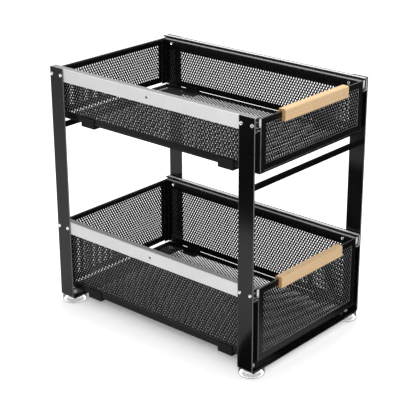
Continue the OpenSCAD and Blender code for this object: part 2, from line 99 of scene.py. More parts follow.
class Bench:
    """The hand tools that every sub-assembly shares."""

    @staticmethod
    def clear() -> None:
        """Leaves edit mode and selects nothing."""
        if bpy.context.object and bpy.context.object.mode != "OBJECT":
            bpy.ops.object.mode_set(mode="OBJECT")
        bpy.ops.object.select_all(action="DESELECT")

    @staticmethod
    def take(*pieces: bpy.types.Object) -> bpy.types.Object:
        """Selects these pieces alone, with the first one active.

        Args:
            pieces: The pieces to work on.

        Returns:
            The active piece.
        """
        Bench.clear()
        for piece in pieces:
            piece.select_set(True)
        bpy.context.view_layer.objects.active = pieces[0]
        return pieces[0]

    @staticmethod
    def open(piece: bpy.types.Object) -> None:
        """Opens a piece in edit mode with nothing selected.

        Args:
            piece: The piece.
        """
        Bench.take(piece)
        bpy.ops.object.mode_set(mode="EDIT")
        bpy.ops.mesh.select_all(action="DESELECT")

    @staticmethod
    def settle(piece: bpy.types.Object, name: str) -> bpy.types.Object:
        """Puts a piece's place into its mesh and names it.

        Args:
            piece: The piece, in object mode or not.
            name: Its name from now on.

        Returns:
            The same piece, at the origin, unturned and unscaled.
        """
        Bench.take(piece)
        bpy.ops.object.transform_apply(location=True, rotation=True, scale=True)
        piece.name = name
        piece.data.name = name
        return piece

    @staticmethod
    def block(name: str, low: Sequence[float], high: Sequence[float]) -> bpy.types.Object:
        """Adds a cube primitive that fills a box.

        Args:
            name: The piece's name.
            low: The box's lowest corner.
            high: The box's highest corner.

        Returns:
            The new piece.
        """
        Bench.clear()
        low, high = Vector(low), Vector(high)
        bpy.ops.mesh.primitive_cube_add(size=1, location=(low + high) / 2, scale=high - low)
        return Bench.settle(bpy.context.object, name)

    @staticmethod
    def drum(
        name: str, radius: float, height: float, base: Sequence[float], sides: int
    ) -> bpy.types.Object:
        """Adds an upright cylinder primitive that stands on a point.

        Args:
            name: The piece's name.
            radius: Its radius.
            height: Its height.
            base: The middle of its underside.
            sides: How many sides it has.

        Returns:
            The new piece.
        """
        Bench.clear()
        place = Vector(base) + Vector((0, 0, height / 2))
        bpy.ops.mesh.primitive_cylinder_add(
            vertices=sides, radius=radius, depth=height, location=place
        )
        return Bench.settle(bpy.context.object, name)

    @staticmethod
    def pick(piece: bpy.types.Object, kind: str, wanted: Callable[..., bool]) -> None:
        """Selects what passes a test, and nothing else.

        Args:
            piece: The piece, open in edit mode.
            kind: VERT, EDGE or FACE.
            wanted: Says of each vertex, edge or face whether it is selected.
        """
        bpy.ops.mesh.select_mode(type=kind)
        bpy.ops.mesh.select_all(action="DESELECT")
        mesh = bmesh.from_edit_mesh(piece.data)
        for part in {"VERT": mesh.verts, "EDGE": mesh.edges, "FACE": mesh.faces}[kind]:
            part.select_set(wanted(part))
        mesh.select_flush_mode()
        bmesh.update_edit_mesh(piece.data)

    @staticmethod
    def pick_faces(piece: bpy.types.Object, test: Test) -> None:
        """Selects the faces whose middle and normal pass a test, and no others.

        Args:
            piece: The piece, open in edit mode.
            test: Says for a face's middle and normal whether it is wanted.
        """
        Bench.pick(piece, "FACE", lambda face: test(face.calc_center_median(), face.normal))

    @staticmethod
    def pick_edges(piece: bpy.types.Object, test: Test) -> None:
        """Selects the edges whose two ends pass a test, and no others.

        Args:
            piece: The piece, open in edit mode.
            test: Says for an edge's two ends whether it is wanted.
        """
        Bench.pick(piece, "EDGE", lambda edge: test(edge.verts[0].co, edge.verts[1].co))

    @staticmethod
    def seam(point: Sequence[float], normal: Sequence[float], trim: bool = False) -> None:
        """Draws a seam round the open piece where a plane meets it, or trims it there.

        Args:
            point: A point of the plane.
            normal: The plane's normal.
            trim: Whether what lies beyond the plane is cut off and the cut closed.
        """
        bpy.ops.mesh.select_all(action="SELECT")
        bpy.ops.mesh.bisect(plane_co=point, plane_no=normal, use_fill=trim, clear_outer=trim)

    @staticmethod
    def array(piece: bpy.types.Object, count: int, step: Sequence[float]) -> None:
        """Repeats a piece along a line and applies it.

        Args:
            piece: The piece.
            count: How many copies there are in all.
            step: The way from one copy to the next.
        """
        row = piece.modifiers.new("row", "ARRAY")
        row.count = count
        row.use_relative_offset = False
        row.use_constant_offset = True
        row.constant_offset_displace = step
        Bench.take(piece)
        bpy.ops.object.modifier_apply(modifier=row.name)

    @staticmethod
    def merge(piece: bpy.types.Object) -> None:
        """Merges the vertices of a piece that lie on each other.

        Args:
            piece: The piece.
        """
        Bench.open(piece)
        bpy.ops.mesh.select_all(action="SELECT")
        bpy.ops.mesh.remove_doubles(threshold=2 * TOUCH)
        Bench.clear()

    @staticmethod
    def round_edges(piece: bpy.types.Object, radius: float, slot: int = MAIN_SLOT) -> None:
        """Rounds every sharp edge of a piece with an applied bevel, and shades it smooth.

        Args:
            piece: The piece.
            radius: The radius of the rounds.
            slot: The number of the material slot that the rounds take.
        """
        bevel = piece.modifiers.new("round", "BEVEL")
        bevel.width = radius
        bevel.segments = 2
        bevel.limit_method = "ANGLE"
        bevel.angle_limit = math.radians(40)
        bevel.harden_normals = False
        bevel.material = slot
        Bench.take(piece)
        bpy.ops.object.modifier_apply(modifier=bevel.name)
        Bench.smooth(piece)
        Bench.flatten(piece)

    @staticmethod
    def flatten(piece: bpy.types.Object) -> None:
        """Shades a smooth piece so that its big faces look flat right up to their rounds.

        Args:
            piece: The piece.
        """
        weigh = piece.modifiers.new("weigh", "WEIGHTED_NORMAL")
        weigh.mode = "FACE_AREA"
        weigh.weight = 50
        weigh.keep_sharp = True
        Bench.take(piece)
        bpy.ops.object.modifier_apply(modifier=weigh.name)

    @staticmethod
    def smooth(piece: bpy.types.Object, angle: float = 35) -> None:
        """Shades a piece smooth, except across edges sharper than an angle in degrees."""
        Bench.take(piece)
        bpy.ops.object.shade_smooth_by_angle(angle=math.radians(angle))

    @staticmethod
    def copy(piece: bpy.types.Object, name: str, place: Matrix) -> bpy.types.Object:
        """Copies a piece with a mesh of its own, moved to a place.

        Args:
            piece: The piece to copy.
            name: The copy's name.
            place: How the copy lies from the original.

        Returns:
            The copy.
        """
        twin = piece.copy()
        twin.data = piece.data.copy()
        for key in list(twin.keys()):
            del twin[key]
        twin.parent = None
        twin.hide_render = False
        twin.hide_viewport = False
        bpy.context.scene.collection.objects.link(twin)
        twin.matrix_world = Matrix.Identity(4)
        twin.data.transform(place)
        if place.determinant() < 0:
            twin.data.flip_normals()
        twin.name = name
        twin.data.name = name
        return twin

    @staticmethod
    def join(name: str, pieces: Sequence[bpy.types.Object]) -> bpy.types.Object:
        """Joins pieces into one object and names it.

        Args:
            name: The joined object's name.
            pieces: The pieces, which may be one alone.

        Returns:
            The joined object.
        """
        whole = Bench.take(*pieces)
        if len(pieces) > 1:
            bpy.ops.object.join()
        whole.name = name
        whole.data.name = name
        return whole

    @staticmethod
    def cut(piece: bpy.types.Object, cutter: bpy.types.Object) -> None:
        """Cuts one piece out of another and throws the cutter away.

        Args:
            piece: The piece that is cut.
            cutter: The piece that is cut out of it.
        """
        saw = piece.modifiers.new("saw", "BOOLEAN")
        saw.operation = "DIFFERENCE"
        saw.solver = "EXACT"
        saw.object = cutter
        Bench.take(piece)
        bpy.ops.object.modifier_apply(modifier=saw.name)
        bpy.data.objects.remove(cutter)


def dress(piece: bpy.types.Object, *finishes: "Finish") -> None:
    """Gives a piece its finishes, slot by slot, and leaves its faces in their slots.

    Args:
        piece: The piece.
        finishes: Its main finish, then those of its edges and of its third slot.
    """
    slots = [face.material_index for face in piece.data.polygons]
    piece.data.materials.clear()
    for finish in finishes:
        piece.data.materials.append(finish.material())
    if len(finishes) > 1:
        piece.data.polygons.foreach_set("material_index", slots)


def place_on(
    piece: bpy.types.Object, body: str, nodes: Sequence[str], *finishes: "Finish"
) -> None:
    """Dresses a piece, hangs it on a body and hides the solids that it stands for.

    Args:
        piece: The finished mesh, with its place in its vertices.
        body: The body that it moves with.
        nodes: The solids that it stands for.
        finishes: Its main finish, then those of its edges and of its third slot.
    """
    dress(piece, *finishes)
    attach(piece, body)
    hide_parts(*nodes)


def bare_sheet(node: str) -> bpy.types.Object:
    """Copies a solid with its flat faces whole again, ready to be rounded.

    Args:
        node: The solid's name.

    Returns:
        The copy, with sharp edges.
    """
    piece = Bench.copy(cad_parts[node], f"{node}_rounded", Matrix.Identity(4))
    Bench.merge(piece)
    Bench.open(piece)
    bpy.ops.mesh.select_all(action="SELECT")
    bpy.ops.mesh.dissolve_limited(angle_limit=math.radians(0.5))
    Bench.clear()
    return piece


def rounded_sheet(node: str, body: str, radius: float, *finishes: "Finish") -> None:
    """Remakes a solid with its sharp edges rounded.

    Args:
        node: The solid's name.
        body: The body that it moves with.
        radius: The radius of the rounds.
        finishes: Its main finish, and that of its rounds where it differs.
    """
    piece = bare_sheet(node)
    dress(piece, *finishes)
    Bench.round_edges(piece, radius, slot=len(finishes) - 1)
    place_on(piece, body, [node], *finishes)


# ---------------------------------------------------------------- finishes


def grey(level: float, blue: float = 1.0) -> tuple[float, float, float]:
    """Gives a grey of a level, with its blue a little stronger or weaker."""
    return level, level, level * blue


class Recipe:
    """A material's node tree, with short ways to add and join its nodes."""

    # a Mix node's first, second and mixed sockets, by its type of data
    MIX_SOCKETS = {"FLOAT": (2, 3, 0), "RGBA": (6, 7, 2)}

    def __init__(self, tree: bpy.types.NodeTree) -> None:
        """Starts on an empty tree."""
        self.tree = tree
        self.tree.nodes.clear()

    def add(self, kind: str, **settings: object) -> bpy.types.Node:
        """Adds a node.

        Args:
            kind: The node's type without its ShaderNode prefix.
            settings: Properties of the node, by name.

        Returns:
            The new node.
        """
        prefix = "" if kind.startswith("NodeGroup") else "ShaderNode"
        node = self.tree.nodes.new(prefix + kind)
        for key, value in settings.items():
            setattr(node, key, value)
        return node

    def join(self, source: Source, target: bpy.types.NodeSocket) -> None:
        """Joins an output to an input, or sets the input to a plain value.

        Args:
            source: The output or the value.
            target: The input.
        """
        if isinstance(source, bpy.types.NodeSocket):
            self.tree.links.new(source, target)
        else:
            target.default_value = source

    def feed(self, node: bpy.types.Node, **sources: Source) -> bpy.types.Node:
        """Joins or sets a node's inputs.

        Args:
            node: The node.
            sources: What goes into its inputs, by name, with spaces written as underscores.

        Returns:
            The same node.
        """
        for key, source in sources.items():
            self.join(source, node.inputs[key.replace("_", " ")])
        return node

    def group(self, tree: bpy.types.NodeTree, **sources: Source) -> bpy.types.Node:
        """Adds a shared group.

        Args:
            tree: The group.
            sources: What goes into its inputs, as for feed.

        Returns:
            The group's node.
        """
        return self.feed(self.add("Group", node_tree=tree), **sources)

    def math(self, operation: str, *sources: Source) -> bpy.types.NodeSocket:
        """Works out a value.

        Args:
            operation: The operation of the Math node.
            sources: Its inputs in order.

        Returns:
            The value's socket.
        """
        node = self.add("Math", operation=operation)
        for source, target in zip(sources, node.inputs):
            self.join(source, target)
        return node.outputs["Value"]

    def mix(
        self, factor: float, first: Source, second: Source, **settings: str
    ) -> bpy.types.NodeSocket:
        """Mixes two values or two colours.

        Args:
            factor: How much of the second one shows.
            first: The first one.
            second: The second one.
            settings: The Mix node's data_type, FLOAT or RGBA, and its blend_type.

        Returns:
            The mixed socket.
        """
        node = self.feed(self.add("Mix", **settings), Factor=factor)
        one, two, mixed = self.MIX_SOCKETS[node.data_type]
        self.join(first, node.inputs[one])
        self.join(second, node.inputs[two])
        return node.outputs[mixed]

    def ramp(
        self, source: bpy.types.NodeSocket, *stops: tuple[float, tuple[float, ...]]
    ) -> bpy.types.NodeSocket:
        """Adds a colour ramp on a value.

        Args:
            source: The value.
            stops: Positions and colours, two or more.

        Returns:
            The colour's socket.
        """
        node = self.feed(self.add("ValToRGB"), Fac=source)
        bar = node.color_ramp.elements
        while len(bar) < len(stops):
            bar.new(0.5)
        for stop, (position, colour) in zip(bar, stops):
            stop.position = position
            stop.color = (*colour, 1.0)
        return node.outputs["Color"]

    def spread(
        self, source: bpy.types.NodeSocket, low: float, high: float
    ) -> bpy.types.NodeSocket:
        """Maps a value from 0...1 to low...high."""
        node = self.feed(self.add("MapRange"), Value=source, To_Min=low, To_Max=high)
        return node.outputs["Result"]

    def bump(
        self, height: bpy.types.NodeSocket, strength: float, distance: float
    ) -> bpy.types.NodeSocket:
        """Turns a height into a normal.

        Args:
            height: The height value.
            strength: How strongly it shows, from 0 to 1.
            distance: The height in metres of a value of 1.

        Returns:
            The normal's socket.
        """
        node = self.add("Bump")
        return self.feed(
            node, Height=height, Strength=strength, Distance=distance
        ).outputs["Normal"]


def effect_group(
    name: str, inputs: dict[str, float], outputs: Sequence[str]
) -> tuple[Recipe, bpy.types.Node, bpy.types.Node]:
    """Starts a shared effect as a node group.

    Args:
        name: The group's name.
        inputs: Names and default values of its value inputs, after its vector input.
        outputs: Names of its value outputs.

    Returns:
        A recipe on the group's tree, and its input and output nodes.
    """
    tree = bpy.data.node_groups.new(name, "ShaderNodeTree")
    tree.interface.new_socket("Vector", in_out="INPUT", socket_type="NodeSocketVector")
    for word, value in inputs.items():
        socket = tree.interface.new_socket(word, in_out="INPUT", socket_type="NodeSocketFloat")
        socket.default_value = value
    for word in outputs:
        tree.interface.new_socket(word, in_out="OUTPUT", socket_type="NodeSocketFloat")
    recipe = Recipe(tree)
    return recipe, recipe.add("NodeGroupInput"), recipe.add("NodeGroupOutput")


class Effects:
    """The surface effects that more than one finish uses, each built once."""

    @staticmethod
    @functools.cache
    def speckle() -> bpy.types.NodeTree:
        """Fine grains over broad soft patches, as in powder coat and moulded plastic.

        Returns:
            A group with inputs Grain Scale and Patch Scale in features per metre, and
            outputs Grain and Patch, both from 0 to 1.
        """
        words = ("Grain", "Patch")
        recipe, inlet, outlet = effect_group(
            "Speckle", {"Grain Scale": 900.0, "Patch Scale": 12.0}, words
        )
        for word in words:
            noise = recipe.feed(
                recipe.add("TexNoise", noise_dimensions="3D"), Detail=3.0,
                Vector=inlet.outputs["Vector"], Scale=inlet.outputs[f"{word} Scale"],
            )
            recipe.join(noise.outputs["Fac"], outlet.inputs[word])
        return recipe.tree

    @staticmethod
    @functools.cache
    def streaks() -> bpy.types.NodeTree:
        """Fine lines drawn out along one direction, as rolling and sanding leave them.

        Returns:
            A group with inputs Fineness and Length Share, whose vector's X runs along the
            lines, and an output Streak from 0 to 1.
        """
        recipe, inlet, outlet = effect_group(
            "Streaks", {"Fineness": 1500.0, "Length Share": 0.02}, ["Streak"]
        )
        place = recipe.feed(recipe.add("SeparateXYZ"), Vector=inlet.outputs["Vector"]).outputs
        drawn = recipe.feed(
            recipe.add("CombineXYZ"), Y=place["Y"], Z=place["Z"],
            X=recipe.math("MULTIPLY", place["X"], inlet.outputs["Length Share"]),
        )
        noise = recipe.feed(
            recipe.add("TexNoise", noise_dimensions="3D"), Detail=2.0,
            Vector=drawn.outputs["Vector"], Scale=inlet.outputs["Fineness"],
        )
        recipe.join(noise.outputs["Fac"], outlet.inputs["Streak"])
        return recipe.tree


@dataclass(frozen=True)
class Finish:
    """What every finish has: a name and a material slot name, which is not used."""

    name: str
    slot: str

    def material(self) -> bpy.types.Material:
        """The finish's material, built the first time that it is asked for."""
        made = bpy.data.materials.get(self.name)
        if made is None:
            made = bpy.data.materials.new(self.name)
            made.use_nodes = True
            recipe = Recipe(made.node_tree)
            shader = recipe.add("BsdfPrincipled")
            recipe.feed(recipe.add("OutputMaterial"), Surface=shader.outputs["BSDF"])
            self.mix(recipe, shader, recipe.add("TexCoord").outputs["Object"])
        return made

    def mix(
        self, recipe: Recipe, shader: bpy.types.Node, place: bpy.types.NodeSocket
    ) -> None:
        """Adds the finish's own nodes.

        Args:
            recipe: The material's node tree.
            shader: Its Principled shader.
            place: Object coordinates.
        """
        raise NotImplementedError


@dataclass(frozen=True)
class PowderCoat(Finish):
    """Black satin powder coat with a faint orange peel."""

    tone: float = 0.003
    roughness: tuple[float, float] = (0.13, 0.16)
    peel: float = 0.015
    sheen: float = 0.42

    def mix(self, recipe: Recipe, shader: bpy.types.Node, place: bpy.types.NodeSocket) -> None:
        """Adds the speckled tone, gloss and peel.

        Args:
            recipe: The material's node tree.
            shader: Its Principled shader.
            place: Object coordinates.
        """
        grains = recipe.group(
            Effects.speckle(), Vector=place, Grain_Scale=1100.0, Patch_Scale=14.0
        ).outputs
        dark, light = grey(self.tone * 0.8, 1.04), grey(self.tone * 1.25, 1.04)
        recipe.feed(
            shader,
            Base_Color=recipe.ramp(grains["Patch"], (0.35, dark), (0.65, light)),
            Roughness=recipe.spread(grains["Grain"], *self.roughness),
            Normal=recipe.bump(grains["Grain"], self.peel, 0.05 * MM),
            Specular_IOR_Level=self.sheen,
        )


@dataclass(frozen=True)
class ZincSheet(Finish):
    """Bright zinc-plated sheet, with rolling lines along the slide and cloudy patches."""

    tone: float = 0.95
    roughness: tuple[float, float] = (0.46, 0.60)
    metal: float = 0.12
    gloss: float = 0.5

    def mix(self, recipe: Recipe, shader: bpy.types.Node, place: bpy.types.NodeSocket) -> None:
        """Adds the clouds, the rolling lines and the metal.

        Args:
            recipe: The material's node tree.
            shader: Its Principled shader.
            place: Object coordinates.
        """
        along_y = recipe.feed(
            recipe.add("Mapping"), Vector=place, Rotation=(0, 0, math.radians(-90))
        )
        lines = recipe.group(
            Effects.streaks(), Vector=along_y.outputs["Vector"], Fineness=1400.0,
            Length_Share=0.015,
        ).outputs["Streak"]
        clouds = recipe.group(
            Effects.speckle(), Vector=place, Grain_Scale=260.0, Patch_Scale=30.0
        ).outputs["Patch"]
        dim, bright = grey(self.tone * 0.93, 1.01), grey(self.tone)
        recipe.feed(
            shader,
            Base_Color=recipe.ramp(clouds, (0.3, dim), (0.7, bright)),
            Roughness=recipe.spread(lines, *self.roughness),
            Normal=recipe.bump(lines, 0.12, 0.02 * MM),
            Metallic=self.metal,
            Specular_IOR_Level=self.gloss,
        )


@dataclass(frozen=True)
class BrightSteel(Finish):
    """Polished plated steel of the screws, with fine tumbling marks."""

    tone: float = 0.96
    roughness: tuple[float, float] = (0.12, 0.24)
    metal: float = 1.0

    def mix(self, recipe: Recipe, shader: bpy.types.Node, place: bpy.types.NodeSocket) -> None:
        """Adds the tumbling marks and the metal.

        Args:
            recipe: The material's node tree.
            shader: Its Principled shader.
            place: Object coordinates.
        """
        marks = recipe.group(
            Effects.speckle(), Vector=place, Grain_Scale=2200.0, Patch_Scale=300.0
        ).outputs
        dim, bright = grey(self.tone * 0.88), grey(self.tone)
        recipe.feed(
            shader,
            Base_Color=recipe.ramp(marks["Patch"], (0.3, dim), (0.7, bright)),
            Roughness=recipe.spread(marks["Grain"], *self.roughness),
            Metallic=self.metal,
        )


@dataclass(frozen=True)
class MouldedBlack(Finish):
    """Black moulded plastic with a fine matte texture."""

    tone: float = 0.006
    roughness: tuple[float, float] = (0.45, 0.6)
    sheen: float = 0.25

    def mix(self, recipe: Recipe, shader: bpy.types.Node, place: bpy.types.NodeSocket) -> None:
        """Adds the matte texture.

        Args:
            recipe: The material's node tree.
            shader: Its Principled shader.
            place: Object coordinates.
        """
        grains = recipe.group(
            Effects.speckle(), Vector=place, Grain_Scale=2600.0, Patch_Scale=60.0
        ).outputs
        dark, light = grey(self.tone * 0.8), grey(self.tone * 1.3)
        recipe.feed(
            shader,
            Base_Color=recipe.ramp(grains["Patch"], (0.3, dark), (0.7, light)),
            Roughness=recipe.spread(grains["Grain"], *self.roughness),
            Normal=recipe.bump(grains["Grain"], 0.25, 0.05 * MM),
            Specular_IOR_Level=self.sheen,
        )


@dataclass(frozen=True)
class ClearRubber(Finish):
    """Clear soft plastic of the feet, faintly clouded, with a moulded ripple."""

    tone: float = 0.88
    roughness: tuple[float, float] = (0.05, 0.14)
    # tone of the painted shade on the outline
    rim: float = 0.3
    bending: float = 1.07

    def mix(self, recipe: Recipe, shader: bpy.types.Node, place: bpy.types.NodeSocket) -> None:
        """Adds the clouding, a painted shade on the outline where the surface turns away from
        view, and the ripple.

        Args:
            recipe: The material's node tree.
            shader: Its Principled shader.
            place: Object coordinates.
        """
        cloud = recipe.group(
            Effects.speckle(), Vector=place, Grain_Scale=700.0, Patch_Scale=120.0
        ).outputs
        dim, bright = grey(self.tone * 0.96), grey(self.tone)
        # painted shade: darker where the surface turns away from view
        slant = recipe.feed(recipe.add("LayerWeight"), Blend=0.5).outputs["Facing"]
        colour = recipe.mix(
            1.0,
            recipe.ramp(cloud["Patch"], (0.3, dim), (0.7, bright)),
            recipe.ramp(slant, (0.55, grey(1)), (0.9, grey(self.rim))),
            data_type="RGBA", blend_type="MULTIPLY",
        )
        recipe.feed(
            shader,
            Base_Color=colour,
            Roughness=recipe.spread(cloud["Grain"], *self.roughness),
            Normal=recipe.bump(cloud["Patch"], 0.05, 0.1 * MM),
            Transmission_Weight=1.0,
            IOR=self.bending,
        )


@dataclass(frozen=True)
class PaleWood(Finish):
    """Pale close-grained wood, sanded and oiled, with its grain along the handle."""

    light: tuple[float, float, float] = (1.0, 0.70, 0.40)
    dark: tuple[float, float, float] = (0.92, 0.62, 0.34)
    pore: tuple[float, float, float] = (0.72, 0.66, 0.6)
    roughness: tuple[float, float] = (0.32, 0.46)

    def mix(self, recipe: Recipe, shader: bpy.types.Node, place: bpy.types.NodeSocket) -> None:
        """Adds year rings, fibres, pores and their relief.

        Args:
            recipe: The material's node tree.
            shader: Its Principled shader.
            place: Object coordinates.
        """
        stretch = recipe.feed(
            recipe.add("Mapping"), Vector=place, Scale=(0.06, 0.8, 1.0),
            Rotation=(math.radians(18), 0, math.radians(1.5)),
        )
        rings = recipe.feed(
            recipe.add("TexWave", wave_type="BANDS", bands_direction="Z"),
            Vector=stretch.outputs["Vector"], Scale=55.0, Distortion=3.0, Detail=2.0,
            Detail_Scale=0.6,
        )
        fibres = recipe.group(
            Effects.streaks(), Vector=place, Fineness=1300.0, Length_Share=0.02
        ).outputs["Streak"]
        pores = recipe.group(
            Effects.streaks(), Vector=place, Fineness=2600.0, Length_Share=0.06
        ).outputs["Streak"]
        grain = recipe.mix(0.8, rings.outputs["Fac"], fibres, data_type="FLOAT")
        colour = recipe.mix(
            0.25,
            recipe.ramp(grain, (0.22, self.dark), (0.62, self.light)),
            recipe.ramp(pores, (0.30, self.pore), (0.42, grey(1))),
            data_type="RGBA", blend_type="MULTIPLY",
        )
        recipe.feed(
            shader,
            Base_Color=colour,
            Roughness=recipe.spread(fibres, *self.roughness),
            Normal=recipe.bump(fibres, 0.18, 0.06 * MM),
        )


class Finishes:
    """The finishes of this object, by what they are for."""

    coat = PowderCoat("black_powder_coat", "black_coat")
    # painted highlight: a mid grey on the rounds stands in for the light that they catch
    coat_edge = PowderCoat(
        "black_coat_thin_on_edges", "black_coat", tone=0.22, roughness=(0.20, 0.32), peel=0.05
    )
    basket = PowderCoat(
        "black_basket_coat", "black_coat", tone=0.004, roughness=(0.30, 0.42), peel=0.04,
        sheen=0.28,
    )
    mesh = PowderCoat(
        "black_mesh_coat", "black_mesh", roughness=(0.34, 0.48), peel=0.05, sheen=0.25
    )
    # painted glints: a light grey on strand walls stands in for the light that they catch
    mesh_glint = PowderCoat(
        "black_mesh_coat_thin_on_edges", "black_mesh", tone=0.42, roughness=(0.34, 0.48)
    )
    zinc = ZincSheet("zinc_sheet", "zinc")
    # painted shade: near black on the slides' small edges, ends, lips and shadow gaps
    zinc_shade = ZincSheet(
        "zinc_rolled_edge", "zinc", tone=0.03, roughness=(0.4, 0.5), metal=0.0, gloss=0.08
    )
    # painted shade: a mid grey on the left slides' level faces stands in for their darker
    # reflection
    flange = ZincSheet(
        "zinc_dulled_flange", "zinc", tone=0.36, roughness=(0.5, 0.6), metal=0.0
    )
    # painted shade: near black on the inner members' tracks and front ends, which lie in shadow
    track = ZincSheet(
        "greased_ball_track", "zinc", tone=0.02, roughness=(0.3, 0.45), metal=0.0, gloss=0.08
    )
    cage = ZincSheet("cage_steel", "cage_steel", tone=0.12, roughness=(0.35, 0.5), metal=1.0)
    screw = BrightSteel("bright_screw_steel", "bright_screw")
    # painted highlight: the foot bolts are matte white to stand in for their bright reflection
    bolt = BrightSteel(
        "dull_bolt_steel", "bright_screw", tone=1.0, roughness=(0.22, 0.34), metal=0.0
    )
    clip = MouldedBlack("moulded_black_plastic", "black_clip")
    foot = ClearRubber("clear_foot_plastic", "clear_foot")
    # painted shade: a darker grey on the feet's walls and upper rounds
    foot_wall_shade = ClearRubber("clear_foot_thick_edge", "clear_foot", tone=0.4)
    # painted contact shadow: near black on the feet's lower rounds
    foot_line = ClearRubber("clear_foot_shaded_rim", "clear_foot", tone=0.04)
    wood = PaleWood("pale_oiled_wood", "pale_wood")
    # end grain, darker as end grain is, with painted shade on the handle's ends as well
    end_grain = PaleWood(
        "pale_wood_end_grain", "pale_wood", light=(0.60, 0.34, 0.15), dark=(0.48, 0.26, 0.11)
    )


# ---------------------------------------------------------------- sub-assemblies


@dataclass
class ScrewPattern:
    """A pan-head screw with a cross recess, modelled once and set wherever one is seen.

    The recess's width and reach are shares of the head's radius, its floor and the crown's
    round are shares of the head's height. The recess is turned in degrees, and each screw is
    spun on from the one before it in radians.
    """

    recess_width: float = 0.16
    recess_reach: float = 0.62
    recess_floor: float = 0.45
    recess_turn: float = 20.0
    crown: float = 0.8
    spin: float = 1.1
    sides: int = 20
    finish: Finish = Finishes.screw

    def model(self, head: float, height: float, shank: float, length: float) -> bpy.types.Object:
        """Models one screw, head up, with its seat at the origin.

        Args:
            head: The head's radius.
            height: The head's height.
            shank: The shank's radius.
            length: The shank's length.

        Returns:
            The screw.
        """
        screw = Bench.drum("screw_pattern", head, height, (0, 0, 0), self.sides)
        Bench.open(screw)
        top = height - TOUCH
        Bench.pick_edges(screw, lambda a, b: min(a.z, b.z) > top)
        bpy.ops.mesh.bevel(offset=height * self.crown, segments=3, profile=0.6, affect="EDGES")
        Bench.pick_faces(screw, lambda c, n: n.z < -FLAT)
        bpy.ops.mesh.inset(thickness=head - shank)
        bpy.ops.mesh.extrude_region_move(TRANSFORM_OT_translate={"value": (0, 0, -length)})
        Bench.clear()
        reach, width = head * self.recess_reach, head * self.recess_width
        floor, past_head = height * self.recess_floor, height * 1.5
        for quarter in (0, 90):
            bar = Bench.block("recess", (-reach, -width, floor), (reach, width, past_head))
            turn = Matrix.Rotation(math.radians(self.recess_turn + quarter), 4, "Z")
            bar.data.transform(turn)
            Bench.cut(screw, bar)
        Bench.smooth(screw, angle=40)
        return screw

    def set_at(
        self, name: str, body: str, nodes: Sequence[str], sizes: tuple[float, ...],
        places: Sequence[tuple[Vector, Matrix]],
    ) -> None:
        """Sets copies of a screw and hangs them on a body as one piece.

        Args:
            name: The piece's name.
            body: The body that they move with.
            nodes: The solids that they stand for.
            sizes: The head's radius and height, and the shank's radius and length.
            places: Each screw's seat and the turn that points its head.
        """
        pattern = self.model(*sizes)
        copies = []
        for index, (seat, turn) in enumerate(places):
            place = Matrix.Translation(seat) @ turn @ Matrix.Rotation(index * self.spin, 4, "Z")
            copies.append(Bench.copy(pattern, f"{name}_{index}", place))
        bpy.data.objects.remove(pattern)
        place_on(Bench.join(name, copies), body, nodes, self.finish)


